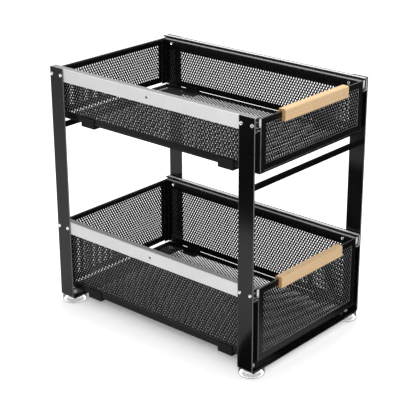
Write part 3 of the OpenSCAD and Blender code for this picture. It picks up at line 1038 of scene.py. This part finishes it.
@dataclass
class BarFrame:
    """The standing frame: posts, rails, feet and their bolts."""

    post_round: float = 0.6 * MM
    tab_height: float = 12.0 * MM
    rail_round: float = 0.5 * MM
    foot_round: float = 1.2 * MM
    # width of the lower round that carries the painted contact shadow
    foot_line: float = 2.6 * MM
    foot_dish: float = 0.3 * MM
    foot_slope: float = 0.18 * MM
    foot_rim: float = 3.5 * MM
    bolt_head: tuple[float, float] = (4.75 * MM, 3.25 * MM)
    bolt_shank: tuple[float, float] = (2.4 * MM, 9.0 * MM)
    screw_head: tuple[float, float] = (3.25 * MM, 1.6 * MM)
    screw_shank: tuple[float, float] = (2.0 * MM, 3.2 * MM)
    screw_step: float = 10.2 * MM

    def post(self, end: End, side: Side) -> None:
        """Remakes one post with the full rounds of rolled bar along its two sides.

        The rounds carry a painted highlight, apart from those of the foot tab.

        Args:
            end: The end that it stands at.
            side: The side that it stands at.
        """
        node = f"post_{end.word}_{side.word}"
        low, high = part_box(node)
        finishes = (Finishes.coat, Finishes.coat_edge)
        bar = bare_sheet(node)
        dress(bar, *finishes)
        Bench.open(bar)
        Bench.pick_edges(
            bar,
            lambda a, b: abs(a.y - b.y) < TOUCH
            and min(abs(a.y - low.y), abs(a.y - high.y)) < TOUCH,
        )
        # painted highlight on the rounds along the bar's sides
        bpy.ops.mesh.bevel(
            offset=self.post_round, segments=3, affect="EDGES", clamp_overlap=False,
            material=EDGE_SLOT,
        )
        Bench.clear()
        Bench.smooth(bar)
        Bench.flatten(bar)
        for face in bar.data.polygons:
            if face.center.z < low.z + self.tab_height:
                face.material_index = MAIN_SLOT
        place_on(bar, "frame", [node], *finishes)

    def build(self) -> None:
        """Builds and hangs all the frame's pieces."""
        for end in End:
            for side in Side:
                self.post(end, side)
                self.foot(end, side)
            for rail in ("base_rail", "cross_rail"):
                rounded_sheet(f"{rail}_{end.word}", "frame", self.rail_round, Finishes.coat)
        self.bolts()
        for tier in Tier:
            self.slide_screws(tier)

    def foot(self, end: End, side: Side) -> None:
        """Models one clear foot: a round pad with soft edges and a dished underside.

        Its wall and upper round carry painted shade, darker than its top, and its lower round a
        nearly black painted contact shadow.

        Args:
            end: The end that it stands at.
            side: The side that it stands at.
        """
        node = f"foot_{end.word}_{side.word}"
        low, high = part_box(node)
        middle = (low + high) / 2
        radius, height = (high.x - low.x) / 2, high.z - low.z
        pad = Bench.drum(f"{node}_pad", radius, height, (middle.x, middle.y, low.z), sides=64)
        finishes = (Finishes.foot, Finishes.foot_wall_shade, Finishes.foot_line)
        dress(pad, *finishes)
        Bench.open(pad)
        # painted shade on the wall and upper round
        Bench.pick_faces(pad, lambda c, n: abs(n.z) < LEANING)
        pad.active_material_index = EDGE_SLOT
        bpy.ops.object.material_slot_assign()
        Bench.pick_edges(pad, lambda a, b: min(a.z, b.z) > high.z - TOUCH)
        bpy.ops.mesh.bevel(offset=self.foot_round, segments=4, affect="EDGES", material=EDGE_SLOT)
        # painted contact shadow on the lower round
        Bench.pick_edges(pad, lambda a, b: max(a.z, b.z) < low.z + TOUCH)
        bpy.ops.mesh.bevel(offset=self.foot_line, segments=3, affect="EDGES", material=THIRD_SLOT)
        Bench.pick_faces(pad, lambda c, n: n.z < -FLAT)
        bpy.ops.mesh.inset(thickness=self.foot_rim)
        bpy.ops.mesh.inset(thickness=self.foot_slope)
        bpy.ops.transform.translate(value=(0, 0, self.foot_dish))
        Bench.clear()
        Bench.smooth(pad, angle=50)
        place_on(pad, "frame", [node], *finishes)

    def bolts(self) -> None:
        """Sets the four foot bolts, heads up on the posts' tabs."""
        low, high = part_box("foot_bolts")
        seat = high.z - self.bolt_head[1]
        reach = self.bolt_head[0]
        places = [
            (Vector((x, y, seat)), Matrix.Identity(4))
            for x in (low.x + reach, high.x - reach)
            for y in (low.y + reach, high.y - reach)
        ]
        # the heads are matte white as a painted highlight
        ScrewPattern(finish=Finishes.bolt).set_at(
            "foot_bolt_heads", "frame", ["foot_bolts"], self.bolt_head + self.bolt_shank, places
        )

    def slide_screws(self, tier: Tier) -> None:
        """Sets the eight screws that hold one tier's slides to the posts.

        Args:
            tier: The tier.
        """
        node = f"{tier.value}_slide_screws"
        low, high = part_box(node)
        face = high.x - self.screw_head[1]
        height = (low.z + high.z) / 2
        places = []
        for side in Side:
            turn = Matrix.Rotation(side.value * math.pi / 2, 4, "Y")
            for end in End:
                post_low, post_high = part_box(f"post_{end.word}_{side.word}")
                middle = (post_low.y + post_high.y) / 2
                for step in (-self.screw_step, self.screw_step):
                    places.append((Vector((side.value * face, middle + step, height)), turn))
        ScrewPattern().set_at(
            f"{node}_heads", "frame", [node], self.screw_head + self.screw_shank, places
        )


@dataclass
class Slide:
    """One three-section slide: outer, middle and inner member."""

    tier: Tier
    side: Side
    edge_round: float = 0.35 * MM
    roll_round: float = 1.2 * MM
    near_round: float = 1.8 * MM
    drill_radius: float = 2.5 * MM
    drill_length: float = 60.0 * MM
    # depth and width of the painted shade at the front end of a member's back
    buffer: float = 3.6 * MM
    # width of the painted shade strip at the back of the right slides' level faces
    shade_strip: float = 3.2 * MM
    bright_band: float = 8.9 * MM
    lip_reach: float = 9.0 * MM
    track_tilt: float = 0.6

    def outer(self) -> None:
        """Remakes the outer member with the wide rounds that rolling leaves on its back.

        Its small edges, its ends and the inner faces of its lips carry painted shade. On the right
        slides so do the rounds and, apart from a bright band, the level faces. The level
        faces of the left slides carry a painted grey shade.
        """
        node = f"{self.tier.value}_slide_outer_{self.side.word}"
        low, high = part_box(node)
        right = self.side is Side.RIGHT
        back = high.x if right else low.x
        finishes = (Finishes.zinc, Finishes.zinc_shade, Finishes.flange)
        piece = bare_sheet(node)
        dress(piece, *finishes)
        Bench.open(piece)
        Bench.pick_edges(
            piece,
            lambda a, b: max(abs(a.x - back), abs(b.x - back), abs(a.z - b.z)) < TOUCH
            and min(abs(a.z - low.z), abs(a.z - high.z)) < TOUCH,
        )
        bpy.ops.mesh.bevel(
            offset=self.roll_round if right else self.near_round, segments=4,
            affect="EDGES", material=EDGE_SLOT if right else MAIN_SLOT,
        )
        Bench.round_edges(piece, self.edge_round, slot=EDGE_SLOT)
        seams = (back - self.shade_strip, back - self.bright_band) if right else ()
        Bench.open(piece)
        for seam in seams:
            Bench.seam((seam, 0, 0), (1, 0, 0))
        Bench.clear()
        # painted shade on ends, lips and level faces beside the bright band; painted grey shade on
        # the left slides' level faces
        for face in piece.data.polygons:
            level = abs(face.normal.z) > FACING
            strip = right and not seams[1] < face.center.x < seams[0]
            lip = (
                abs(face.center.x - back) > self.lip_reach
                and face.normal.x * self.side.value < -LEANING
            )
            if abs(face.normal.y) > FACING or (level and strip) or lip:
                face.material_index = EDGE_SLOT
            elif level and not right:
                face.material_index = THIRD_SLOT
        place_on(piece, "frame", [node], *finishes)

    def inside(self, member: str, body: str) -> None:
        """Remakes the middle or inner member, with the driver hole and painted shade on its
        tracks.

        Painted shade covers the front end of its back, as deep as it is wide.

        Args:
            member: Which member it is, middle or inner.
            body: The body that it moves with.
        """
        node = f"{self.tier.value}_slide_{member}_{self.side.word}"
        low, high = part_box(f"{self.tier.value}_slide_outer_{self.side.word}")
        middle = (low + high) / 2
        finishes = (Finishes.zinc, Finishes.track)
        piece = bare_sheet(node)
        drill = Bench.drum(
            "drill", self.drill_radius, self.drill_length, (0, 0, -self.drill_length / 2),
            sides=32,
        )
        across = Matrix.Rotation(math.pi / 2, 4, "Y")
        drill.data.transform(Matrix.Translation((middle.x, middle.y, middle.z)) @ across)
        Bench.cut(piece, drill)
        Bench.round_edges(piece, self.edge_round)
        dress(piece, *finishes)
        near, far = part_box(node)
        inward = -self.side.value
        rim = (near.x if inward > 0 else far.x) + inward * self.buffer
        Bench.open(piece)
        Bench.seam((rim, 0, 0), (1, 0, 0))
        Bench.clear()
        # painted shade on the tracks and on the front end of the back
        for face in piece.data.polygons:
            buffer = face.center.y < near.y + self.buffer and (face.center.x - rim) * inward < 0
            if member == "middle":
                track = abs(face.normal.x) < self.track_tilt
            else:
                track = abs(face.normal.z) > self.track_tilt
            face.material_index = EDGE_SLOT if buffer or track else MAIN_SLOT
        place_on(piece, body, [node], *finishes)

    def build(self) -> None:
        """Builds the slide's three members and finishes its ball cages."""
        self.outer()
        self.inside("middle", f"{self.tier.value}_middle_{self.side.word}")
        self.inside("inner", f"{self.tier.value}_basket")
        dress(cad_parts[f"{self.tier.value}_ball_cages_{self.side.word}"], Finishes.cage)


class Facing(Enum):
    """Which way a mesh panel's thickness lies."""

    ALONG_X = "x"
    ALONG_Y = "y"
    ALONG_Z = "z"


@dataclass
class MeshPanel:
    """A panel of expanded metal: staggered upright diamonds with ridged, leaning strands.

    The trimming planes lie off the strands' corners by the offset, so that each cut is clean.
    """

    node: str
    facing: Facing
    strand: float = 1.9 * MM
    ridge: float = 0.1 * MM
    lean: float = 1.3 * MM
    pitch: tuple[float, float] = (5.33 * MM, 9.3 * MM)
    bond: float = 1.5 * MM
    offset: tuple[float, float] = (0.013 * MM, 0.017 * MM)
    # whether the strand walls facing low u and low v carry painted glints
    glint: bool = True
    glint_tilt: float = 0.7
    glint_turn: float = 0.1

    def cell(self, thickness: float) -> bpy.types.Object:
        """Models one diamond with half of the strands round it, lying on the XY plane.

        Args:
            thickness: The thickness of the expanded sheet.

        Returns:
            The cell, open where it meets its neighbours.
        """
        Bench.clear()
        bpy.ops.mesh.primitive_circle_add(vertices=4, radius=1, fill_type="NGON")
        cell = Bench.settle(bpy.context.object, "mesh_cell")
        dress(cell, Finishes.mesh, Finishes.mesh_glint)
        half_u, half_v = self.pitch[0] / 2, self.pitch[1] / 2
        cell.data.transform(Matrix.Diagonal((half_u, half_v, 1, 1)))
        Bench.open(cell)
        bpy.ops.mesh.select_all(action="SELECT")
        bpy.ops.mesh.inset(thickness=self.strand / 2)
        hole_v = half_v - self.strand / 2 * math.hypot(half_u, half_v) / half_u
        squash = (half_v - self.bond / 2 - self.strand / 2) / hole_v
        bpy.ops.transform.resize(value=(1, min(1.0, squash), 1))
        bpy.ops.mesh.delete(type="FACE")
        bpy.ops.mesh.select_all(action="SELECT")
        bpy.ops.mesh.extrude_region_move(TRANSFORM_OT_translate={"value": (0, 0, thickness)})
        just_inside = half_u * half_v * 0.98

        def on_rim(point: Vector) -> bool:
            """Says whether a point lies on the diamond's outline, where the cell is open."""
            return abs(point.x) * half_v + abs(point.y) * half_u > just_inside

        Bench.pick_faces(cell, lambda c, n: abs(n.z) < LEANING and on_rim(c))
        bpy.ops.mesh.delete(type="FACE")
        for z, up in ((0.0, 1), (thickness, -1)):
            Bench.pick(
                cell, "VERT", lambda vert: abs(vert.co.z - z) < TOUCH and not on_rim(vert.co)
            )
            bpy.ops.transform.translate(value=(0, up * self.lean / 2, up * self.ridge))
        bpy.ops.mesh.select_all(action="SELECT")
        bpy.ops.mesh.normals_make_consistent(inside=False)
        # painted glints on the strand walls that face low u and low v
        if self.glint:
            Bench.pick_faces(
                cell,
                lambda c, n: abs(n.z) < self.glint_tilt and max(n.x, n.y) < -self.glint_turn,
            )
            cell.active_material_index = EDGE_SLOT
            bpy.ops.object.material_slot_assign()
        Bench.clear()
        return cell

    def lattice(
        self, width: float, height: float, thickness: float, name: str
    ) -> bpy.types.Object:
        """Fills a rectangle with cells and trims them to it.

        Args:
            width: The panel's size along X.
            height: The panel's size along Y.
            thickness: The sheet's thickness, from z = 0 up.
            name: The panel's name.

        Returns:
            The panel, with its lowest corner at the origin.
        """
        panel = self.cell(thickness)
        step_u, step_v = self.pitch
        columns, rows = math.ceil(width / step_u) + 2, math.ceil(height / step_v) + 2
        Bench.array(panel, 2, (step_u / 2, step_v / 2, 0))
        Bench.array(panel, columns, (step_u, 0, 0))
        Bench.array(panel, rows, (0, step_v, 0))
        left = self.offset[0] - (columns * step_u - width) / 2
        bottom = self.offset[1] - (rows * step_v - height) / 2
        panel.data.transform(Matrix.Translation((left, bottom, 0)))
        Bench.merge(panel)
        Bench.open(panel)
        for point, normal in (
            ((0, 0, 0), (-1, 0, 0)),
            ((width, 0, 0), (1, 0, 0)),
            ((0, 0, 0), (0, -1, 0)),
            ((0, height, 0), (0, 1, 0)),
        ):
            Bench.seam(point, normal, trim=True)
        Bench.clear()
        panel.name = name
        return panel

    def build(self, body: str) -> None:
        """Builds the panel in its place and hangs it on a body.

        Args:
            body: The body that it moves with.
        """
        low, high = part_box(self.node)
        size = high - low
        name = f"{self.node}_diamonds"
        if self.facing is Facing.ALONG_X:
            panel = self.lattice(size.y, size.z, size.x, name)
            turn = Matrix(((0, 0, 1, 0), (1, 0, 0, 0), (0, 1, 0, 0), (0, 0, 0, 1)))
        elif self.facing is Facing.ALONG_Y:
            panel = self.lattice(size.x, size.z, size.y, name)
            turn = Matrix(((1, 0, 0, 0), (0, 0, -1, size.y), (0, 1, 0, 0), (0, 0, 0, 1)))
        else:
            panel = self.lattice(size.x, size.y, size.z, name)
            turn = Matrix.Identity(4)
        panel.data.transform(Matrix.Translation(low) @ turn)
        Bench.smooth(panel, angle=30)
        place_on(panel, body, [self.node], Finishes.mesh, Finishes.mesh_glint)


@dataclass
class Handle:
    """The wooden handle: a bridge over the rim with a leg on each side of it."""

    tier: Tier
    slot_front: float = 6.4 * MM
    slot_back: float = 9.0 * MM
    bridge: float = 3.4 * MM
    top_round: float = 2.5 * MM
    edge_round: float = 0.5 * MM

    def build(self) -> None:
        """Models the handle and hangs it on its basket."""
        node = f"{self.tier.value}_handle"
        low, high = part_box(node)
        floor = high.z - self.bridge
        bar = Bench.block(f"{node}_wood", (low.x, low.y, floor), high)
        Bench.open(bar)
        front, back = low.y + self.slot_front, low.y + self.slot_back
        for edge in (front, back):
            Bench.seam((0, edge, 0), (0, 1, 0))
        Bench.pick_faces(bar, lambda c, n: n.z < -FACING and not front < c.y < back)
        bpy.ops.mesh.extrude_region_move(
            TRANSFORM_OT_translate={"value": (0, 0, low.z - floor)}
        )
        Bench.pick_edges(
            bar,
            lambda a, b: min(a.z, b.z) > high.z - TOUCH and abs(a.y - b.y) < TOUCH
            and min(abs(a.y - low.y), abs(a.y - high.y)) < TOUCH,
        )
        bpy.ops.mesh.bevel(offset=self.top_round, segments=4, affect="EDGES")
        Bench.clear()
        Bench.round_edges(bar, self.edge_round)
        finishes = (Finishes.wood, Finishes.end_grain)
        dress(bar, *finishes)
        # the ends take end grain darkened further with painted shade
        for face in bar.data.polygons:
            face.material_index = EDGE_SLOT if abs(face.normal.x) > FACING else MAIN_SLOT
        place_on(bar, f"{self.tier.value}_basket", [node], *finishes)


@dataclass
class Basket:
    """One basket: folded frames, mesh, bottom, clips, screws and handle."""

    tier: Tier
    edge_round: float = 0.4 * MM
    clip_round: float = 0.5 * MM
    bead: tuple[float, float] = (1.3 * MM, 1.1 * MM)
    screw_head: tuple[float, float] = (3.25 * MM, 1.4 * MM)
    screw_shank: tuple[float, float] = (2.0 * MM, 2.3 * MM)

    @property
    def body(self) -> str:
        """The body that the basket's pieces move with."""
        return f"{self.tier.value}_basket"

    def build(self) -> None:
        """Builds and hangs all the basket's pieces."""
        word = self.tier.value
        # the frames' rounds carry a painted highlight
        for name in ("side_frame_left", "side_frame_right", "front_frame", "rear_frame"):
            rounded_sheet(
                f"{word}_{name}", self.body, self.edge_round, Finishes.basket, Finishes.coat_edge
            )
        self.bottom_frame()
        rounded_sheet(f"{word}_clips", self.body, self.clip_round, Finishes.clip)
        upper = self.tier is Tier.UPPER
        # the left and front panels carry painted glints
        for name, facing, turn, glint, strand in (
            ("left", Facing.ALONG_X, 1, True, 2.15),
            ("right", Facing.ALONG_X, 1, False, 1.85 if upper else 2.0),
            ("front", Facing.ALONG_Y, -1, True, 2.1 if upper else 1.95),
            ("rear", Facing.ALONG_Y, -1, False, 1.85 if upper else 2.0),
        ):
            MeshPanel(
                f"{word}_mesh_{name}", facing, strand=strand * MM, lean=turn * MeshPanel.lean,
                glint=glint,
            ).build(self.body)
        MeshPanel(
            f"{word}_mesh_bottom", Facing.ALONG_Z, strand=1.15 * MM, ridge=0.33 * MM,
            lean=1.2 * MM, glint=False,
        ).build(self.body)
        self.wall_screws()
        Handle(self.tier).build()

    def bottom_frame(self) -> None:
        """Remakes the bottom frame, with a low bead along its two long edges."""
        node = f"{self.tier.value}_bottom_frame"
        low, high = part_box(node)
        wide, tall = self.bead
        pieces = [bare_sheet(node)]
        for x in (low.x, high.x - wide):
            pieces.append(
                Bench.block("bead", (x, low.y, high.z - tall), (x + wide, high.y, high.z + tall))
            )
        ring = Bench.join(f"{node}_rounded", pieces)
        dress(ring, Finishes.basket)
        Bench.round_edges(ring, self.edge_round)
        place_on(ring, self.body, [node], Finishes.basket)

    def wall_screws(self) -> None:
        """Sets the four screws that hold the side walls to the slides, heads inside."""
        node = f"{self.tier.value}_basket_screws"
        low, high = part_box(node)
        reach = self.screw_head[0]
        face = high.x - self.screw_shank[1]
        height = (low.z + high.z) / 2
        places = []
        for side in Side:
            turn = Matrix.Rotation(-side.value * math.pi / 2, 4, "Y")
            for y in (low.y + reach, high.y - reach):
                places.append((Vector((side.value * face, y, height)), turn))
        ScrewPattern().set_at(
            f"{node}_heads", self.body, [node], self.screw_head + self.screw_shank, places
        )


# ---------------------------------------------------------------- studio


@dataclass(frozen=True)
class Lamp:
    """One round soft lamp: its name, place, power in watts and width."""

    name: str
    place: tuple[float, float, float]
    power: float
    width: float


@dataclass
class Studio:
    """The pale floor, the soft light and the camera.

    Each card is its middle and half its size along X and Y. The glow steps are the shares of
    the glow's reach round the footprint, and how far the floor is lifted to white there; the low
    steps under and beside the footprint paint the object's shadow.
    """

    camera_place: tuple[float, float, float] = (-1.4186, -1.24175, 0.9520)
    azimuth: float = -49.322
    elevation: float = 21.507
    lens: float = 109.21
    film_width: float = 36.0
    shift: tuple[float, float] = (-0.0439, -0.0115)
    sight: float = 50.0
    floor_size: float = 8.0
    floor_grey: float = 0.95
    footprint: tuple[float, float] = (0.145, 0.221)
    glow_reach: tuple[float, float] = (-0.05, 0.45)
    glow_steps: tuple[tuple[float, float], ...] = (
        (0.01, 0.12), (0.06, 0.40), (0.10, 0.52), (0.20, 0.58), (0.90, 0.68),
    )
    gloss_glow: float = 0.05
    glass_glow: float = 0.75
    air: float = 0.40
    lamps: tuple[Lamp, ...] = (
        Lamp("overhead", (0.3, 0.2, 1.9), 18.0, 0.9),
        Lamp("front_left", (-1.5, -1.2, 1.2), 14.0, 1.0),
    )
    lamp_aim: tuple[float, float, float] = (0.0, 0.0, 0.2)
    cards: tuple[tuple[float, float, float, float], ...] = (
        (-1.15, 0.25, 0.55, 0.65),
        (-0.3, -0.3, 0.19, 0.19),
        (0.95, -0.85, 1.2, 0.85),
    )
    card_height: float = 1.0 * MM
    card_grey: float = 0.01

    def build(self) -> None:
        """Sets up the view settings, floor, world, lamps, cards and camera."""
        bpy.context.scene.view_settings.view_transform = "Standard"
        self.floor()
        self.world()
        for lamp in self.lamps:
            self.hang(lamp)
        for place in self.cards:
            self.card(*place)
        self.camera()

    def floor(self) -> None:
        """Lays a white floor that looks pure white, apart from the object's shadow, which the glow
        partly paints.
        """
        Bench.clear()
        bpy.ops.mesh.primitive_plane_add(size=self.floor_size)
        ground = Bench.settle(bpy.context.object, "floor")
        paint = bpy.data.materials.new("floor_white")
        paint.use_nodes = True
        recipe = Recipe(paint.node_tree)
        ray = recipe.add("LightPath").outputs
        seen = recipe.math("MULTIPLY", ray["Is Camera Ray"], self.glow(recipe))
        through = recipe.math("MULTIPLY_ADD", ray["Is Transmission Ray"], self.glass_glow, seen)
        mirrored = recipe.math("MULTIPLY_ADD", ray["Is Glossy Ray"], self.gloss_glow, through)
        matte = recipe.feed(recipe.add("BsdfDiffuse"), Color=(*grey(self.floor_grey), 1))
        glow = recipe.feed(recipe.add("Emission"), Color=(*grey(1), 1), Strength=mirrored)
        both = recipe.add("AddShader")
        recipe.join(matte.outputs["BSDF"], both.inputs[0])
        recipe.join(glow.outputs["Emission"], both.inputs[1])
        recipe.feed(recipe.add("OutputMaterial"), Surface=both.outputs["Shader"])
        ground.data.materials.append(paint)

    def glow(self, recipe: Recipe) -> bpy.types.NodeSocket:
        """Sets how far the floor is lifted to white: little under the object, as painted shadow,
        more away from it.

        Args:
            recipe: The floor material's node tree.

        Returns:
            The strength of the lift.
        """
        place = recipe.add("TexCoord").outputs["Object"]
        apart = recipe.feed(recipe.add("SeparateXYZ"), Vector=place).outputs
        beyond = [
            recipe.math("SUBTRACT", recipe.math("ABSOLUTE", apart[axis]), half)
            for axis, half in zip("XY", self.footprint)
        ]
        near, far = self.glow_reach
        share = recipe.feed(
            recipe.add("MapRange"), Value=recipe.math("MAXIMUM", *beyond), From_Min=near,
            From_Max=far,
        )
        # painted shadow: the glow is low under and beside the footprint
        return recipe.ramp(
            share.outputs["Result"], *((at, grey(level)) for at, level in self.glow_steps)
        )

    def world(self) -> None:
        """Fills the studio with soft light that looks pure white behind the object."""
        world = bpy.data.worlds.new("studio")
        bpy.context.scene.world = world
        world.use_nodes = True
        recipe = Recipe(world.node_tree)
        seen = recipe.add("LightPath").outputs["Is Camera Ray"]
        level = recipe.math("MAXIMUM", seen, self.air)
        air = recipe.feed(recipe.add("Background"), Color=(*grey(1), 1), Strength=level)
        recipe.feed(recipe.add("OutputWorld"), Surface=air.outputs["Background"])

    @staticmethod
    def stand(
        name: str, data: bpy.types.ID, place: Sequence[float], look: Vector
    ) -> bpy.types.Object:
        """Stands a lamp or the camera at a place.

        Args:
            name: Its name.
            data: The lamp's or the camera's settings.
            place: Where it stands.
            look: The direction that it looks in.

        Returns:
            The lamp's or the camera's object.
        """
        holder = bpy.data.objects.new(name, data)
        holder.location = place
        holder.rotation_euler = look.to_track_quat("-Z", "Y").to_euler()
        bpy.context.scene.collection.objects.link(holder)
        return holder

    def hang(self, lamp: Lamp) -> None:
        """Hangs a lamp and turns it towards the object.

        Args:
            lamp: The lamp.
        """
        light = bpy.data.lights.new(lamp.name, "AREA")
        light.energy = lamp.power
        light.shape = "DISK"
        light.size = lamp.width
        self.stand(lamp.name, light, lamp.place, Vector(self.lamp_aim) - Vector(lamp.place))

    def card(self, x: float, y: float, reach_x: float, reach_y: float) -> None:
        """Lays a black card on the floor, which only shows in glossy surfaces.

        Args:
            x: The card's middle along X.
            y: The card's middle along Y.
            reach_x: Half its size along X.
            reach_y: Half its size along Y.
        """
        Bench.clear()
        bpy.ops.mesh.primitive_circle_add(
            vertices=64, radius=1, fill_type="NGON", location=(x, y, self.card_height)
        )
        bpy.context.object.scale = (reach_x, reach_y, 1)
        card = Bench.settle(bpy.context.object, "black_card")
        paint = bpy.data.materials.new("black_card")
        paint.use_nodes = True
        shader = paint.node_tree.nodes["Principled BSDF"]
        shader.inputs["Base Color"].default_value = (*grey(self.card_grey), 1)
        shader.inputs["Roughness"].default_value = 1.0
        card.data.materials.append(paint)
        card.visible_camera = False
        card.visible_diffuse = False
        card.visible_shadow = False
        card.visible_transmission = False

    def camera(self) -> None:
        """Stands the camera where the object is seen from."""
        az, el = math.radians(self.azimuth), math.radians(self.elevation)
        back = Vector((math.sin(az) * math.cos(el), -math.cos(az) * math.cos(el), math.sin(el)))
        eye = bpy.data.cameras.new("camera")
        eye.lens = self.lens
        eye.sensor_width = self.film_width
        eye.shift_x, eye.shift_y = self.shift
        eye.clip_end = self.sight
        bpy.context.scene.camera = self.stand("camera", eye, self.camera_place, -back)


def main() -> None:
    """Builds the object and its studio, piece by piece."""
    logging.basicConfig(level=logging.INFO, format="%(message)s")
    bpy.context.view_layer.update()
    BarFrame().build()
    for tier in Tier:
        for side in Side:
            Slide(tier, side).build()
        Basket(tier).build()
    Studio().build()


if __name__ == "__main__":
    main()
